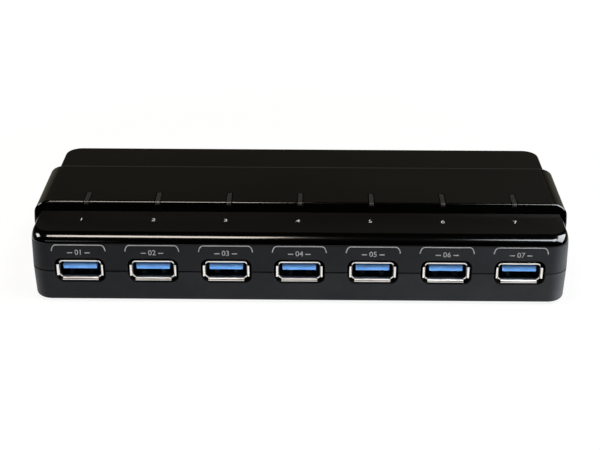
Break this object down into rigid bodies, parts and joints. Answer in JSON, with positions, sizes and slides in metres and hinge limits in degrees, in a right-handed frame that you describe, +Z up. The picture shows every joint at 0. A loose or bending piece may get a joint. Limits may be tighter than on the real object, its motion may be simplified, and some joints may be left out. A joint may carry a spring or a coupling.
{
  "type": "usb hub",
  "caption": "Low oblong desktop hub with a stepped gloss lid and raised band, a matte body, a front row of USB-A sockets with light windows, and cable and power sockets behind.",
  "frame": {"origin": "on the surface that the hub stands on, below the middle of its plan", "axes": "+X along the length, -Y out of the front sockets, +Z up"},
  "size_m": [0.1694, 0.0696, 0.0259],
  "materials": {
    "gloss_black": "polished black moulding",
    "matte_frame": "fine spark-eroded texture, dark grey-black",
    "matte_tray": "fine spark-eroded texture, dark grey-black",
    "bright_nickel": "bright nickel plate on folded steel",
    "blue_plastic": "moulded blue insulator",
    "smoked_clear": "smoked clear acrylic",
    "lamp_lens": "milky lens",
    "board_green": "glass-fibre board with solder mask",
    "uplink_nickel": "nickel plate on folded steel",
    "uplink_blue": "moulded blue insulator",
    "jack_black": "moulded black",
    "pin_nickel": "nickel plate",
    "foot_rubber": "soft black pad",
    "screw_steel": "zinc-blackened steel",
    "chip_black": "moulded package",
    "crystal_can": "drawn can",
    "capacitor_can": "drawn can",
    "inductor_grey": "ferrite",
    "regulator_black": "moulded package"
  },
  "bodies": {
    "root": {"top_cover": "gloss_black", "upper_housing": "matte_frame", "bottom_housing": "matte_tray", "circuit_board": "board_green", "port_shell_1": "bright_nickel", "port_shell_2": "bright_nickel", "port_shell_3": "bright_nickel", "port_shell_4": "bright_nickel", "port_shell_5": "bright_nickel", "port_shell_6": "bright_nickel", "port_shell_7": "bright_nickel", "port_tongue_1": "blue_plastic", "port_tongue_2": "blue_plastic", "port_tongue_3": "blue_plastic", "port_tongue_4": "blue_plastic", "port_tongue_5": "blue_plastic", "port_tongue_6": "blue_plastic", "port_tongue_7": "blue_plastic", "light_guide_1": "smoked_clear", "light_guide_2": "smoked_clear", "light_guide_3": "smoked_clear", "light_guide_4": "smoked_clear", "light_guide_5": "smoked_clear", "light_guide_6": "smoked_clear", "light_guide_7": "smoked_clear", "led_1": "lamp_lens", "led_2": "lamp_lens", "led_3": "lamp_lens", "led_4": "lamp_lens", "led_5": "lamp_lens", "led_6": "lamp_lens", "led_7": "lamp_lens", "uplink_shell": "uplink_nickel", "uplink_tongue": "uplink_blue", "jack_body": "jack_black", "jack_pin": "pin_nickel", "foot_1": "foot_rubber", "foot_2": "foot_rubber", "foot_3": "foot_rubber", "foot_4": "foot_rubber", "screw_1": "screw_steel", "screw_2": "screw_steel", "screw_3": "screw_steel", "screw_4": "screw_steel", "hub_chip_1": "chip_black", "hub_chip_2": "chip_black", "crystal_1": "crystal_can", "crystal_2": "crystal_can", "capacitor_1": "capacitor_can", "capacitor_2": "capacitor_can", "capacitor_3": "capacitor_can", "inductor": "inductor_grey", "regulator": "regulator_black"}
  },
  "joints": []
}
